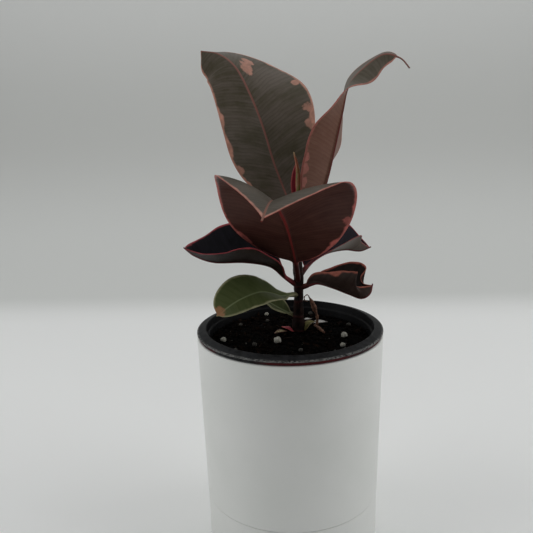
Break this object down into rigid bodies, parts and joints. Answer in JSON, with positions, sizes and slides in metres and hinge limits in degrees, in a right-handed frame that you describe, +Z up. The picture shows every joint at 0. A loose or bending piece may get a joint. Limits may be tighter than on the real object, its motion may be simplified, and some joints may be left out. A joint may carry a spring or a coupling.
{
  "type": "potted rubber plant",
  "caption": "Young rubber plant with folded, variegated leaves in a black nursery pot that hangs in a plain white cylindrical cover pot.",
  "frame": {"origin": "centre of the underside of the pot base, on the surface that the pot stands on", "axes": "+Z up along the pot's axis; -Y towards the side that the long front leaf leans over; +X to the right seen from that side"},
  "size_m": [0.1182, 0.1633, 0.2897],
  "materials": {
    "white_pot": "smooth satin white glaze",
    "nursery_plastic": "black moulded plastic with a dull red-brown collar",
    "soil_mix": "dark fibrous potting mix",
    "stem_bark": "dark red-brown young bark",
    "dark_leaf": "leathery grey-olive leaf with pink margins and a rose midrib",
    "purple_leaf": "leathery near-black purple leaf with red margins",
    "green_leaf": "leathery olive-green leaf with a cream edge",
    "new_growth": "smooth yellow-green new growth",
    "red_sheath": "smooth crimson sheath",
    "pale_scrap": "papery dry scale",
    "dry_brown": "dry brown stipule",
    "perlite": "rough white perlite grain"
  },
  "bodies": {
    "root": {"pot_base": "white_pot", "cover_pot": "white_pot", "nursery_pot": "nursery_plastic", "soil": "soil_mix", "stem": "stem_bark", "leaf_tall_left": "dark_leaf", "leaf_tall_right": "dark_leaf", "leaf_front": "dark_leaf", "leaf_low_left": "purple_leaf", "leaf_back_right": "purple_leaf", "leaf_curled_right": "purple_leaf", "leaf_green": "green_leaf", "leaf_green_small": "green_leaf", "new_leaf": "new_growth", "bud_sheath": "red_sheath", "scale_pale": "pale_scrap", "scale_silver": "pale_scrap", "scale_silver_small": "pale_scrap", "shoot_green": "new_growth", "scale_red": "red_sheath", "dry_stipule": "dry_brown", "twig": "dry_brown", "perlite_1": "perlite", "perlite_2": "perlite", "perlite_3": "perlite", "perlite_4": "perlite", "perlite_5": "perlite", "perlite_6": "perlite", "perlite_7": "perlite", "perlite_8": "perlite", "perlite_9": "perlite", "perlite_10": "perlite", "perlite_11": "perlite", "perlite_12": "perlite", "perlite_13": "perlite", "perlite_14": "perlite"}
  },
  "joints": []
}
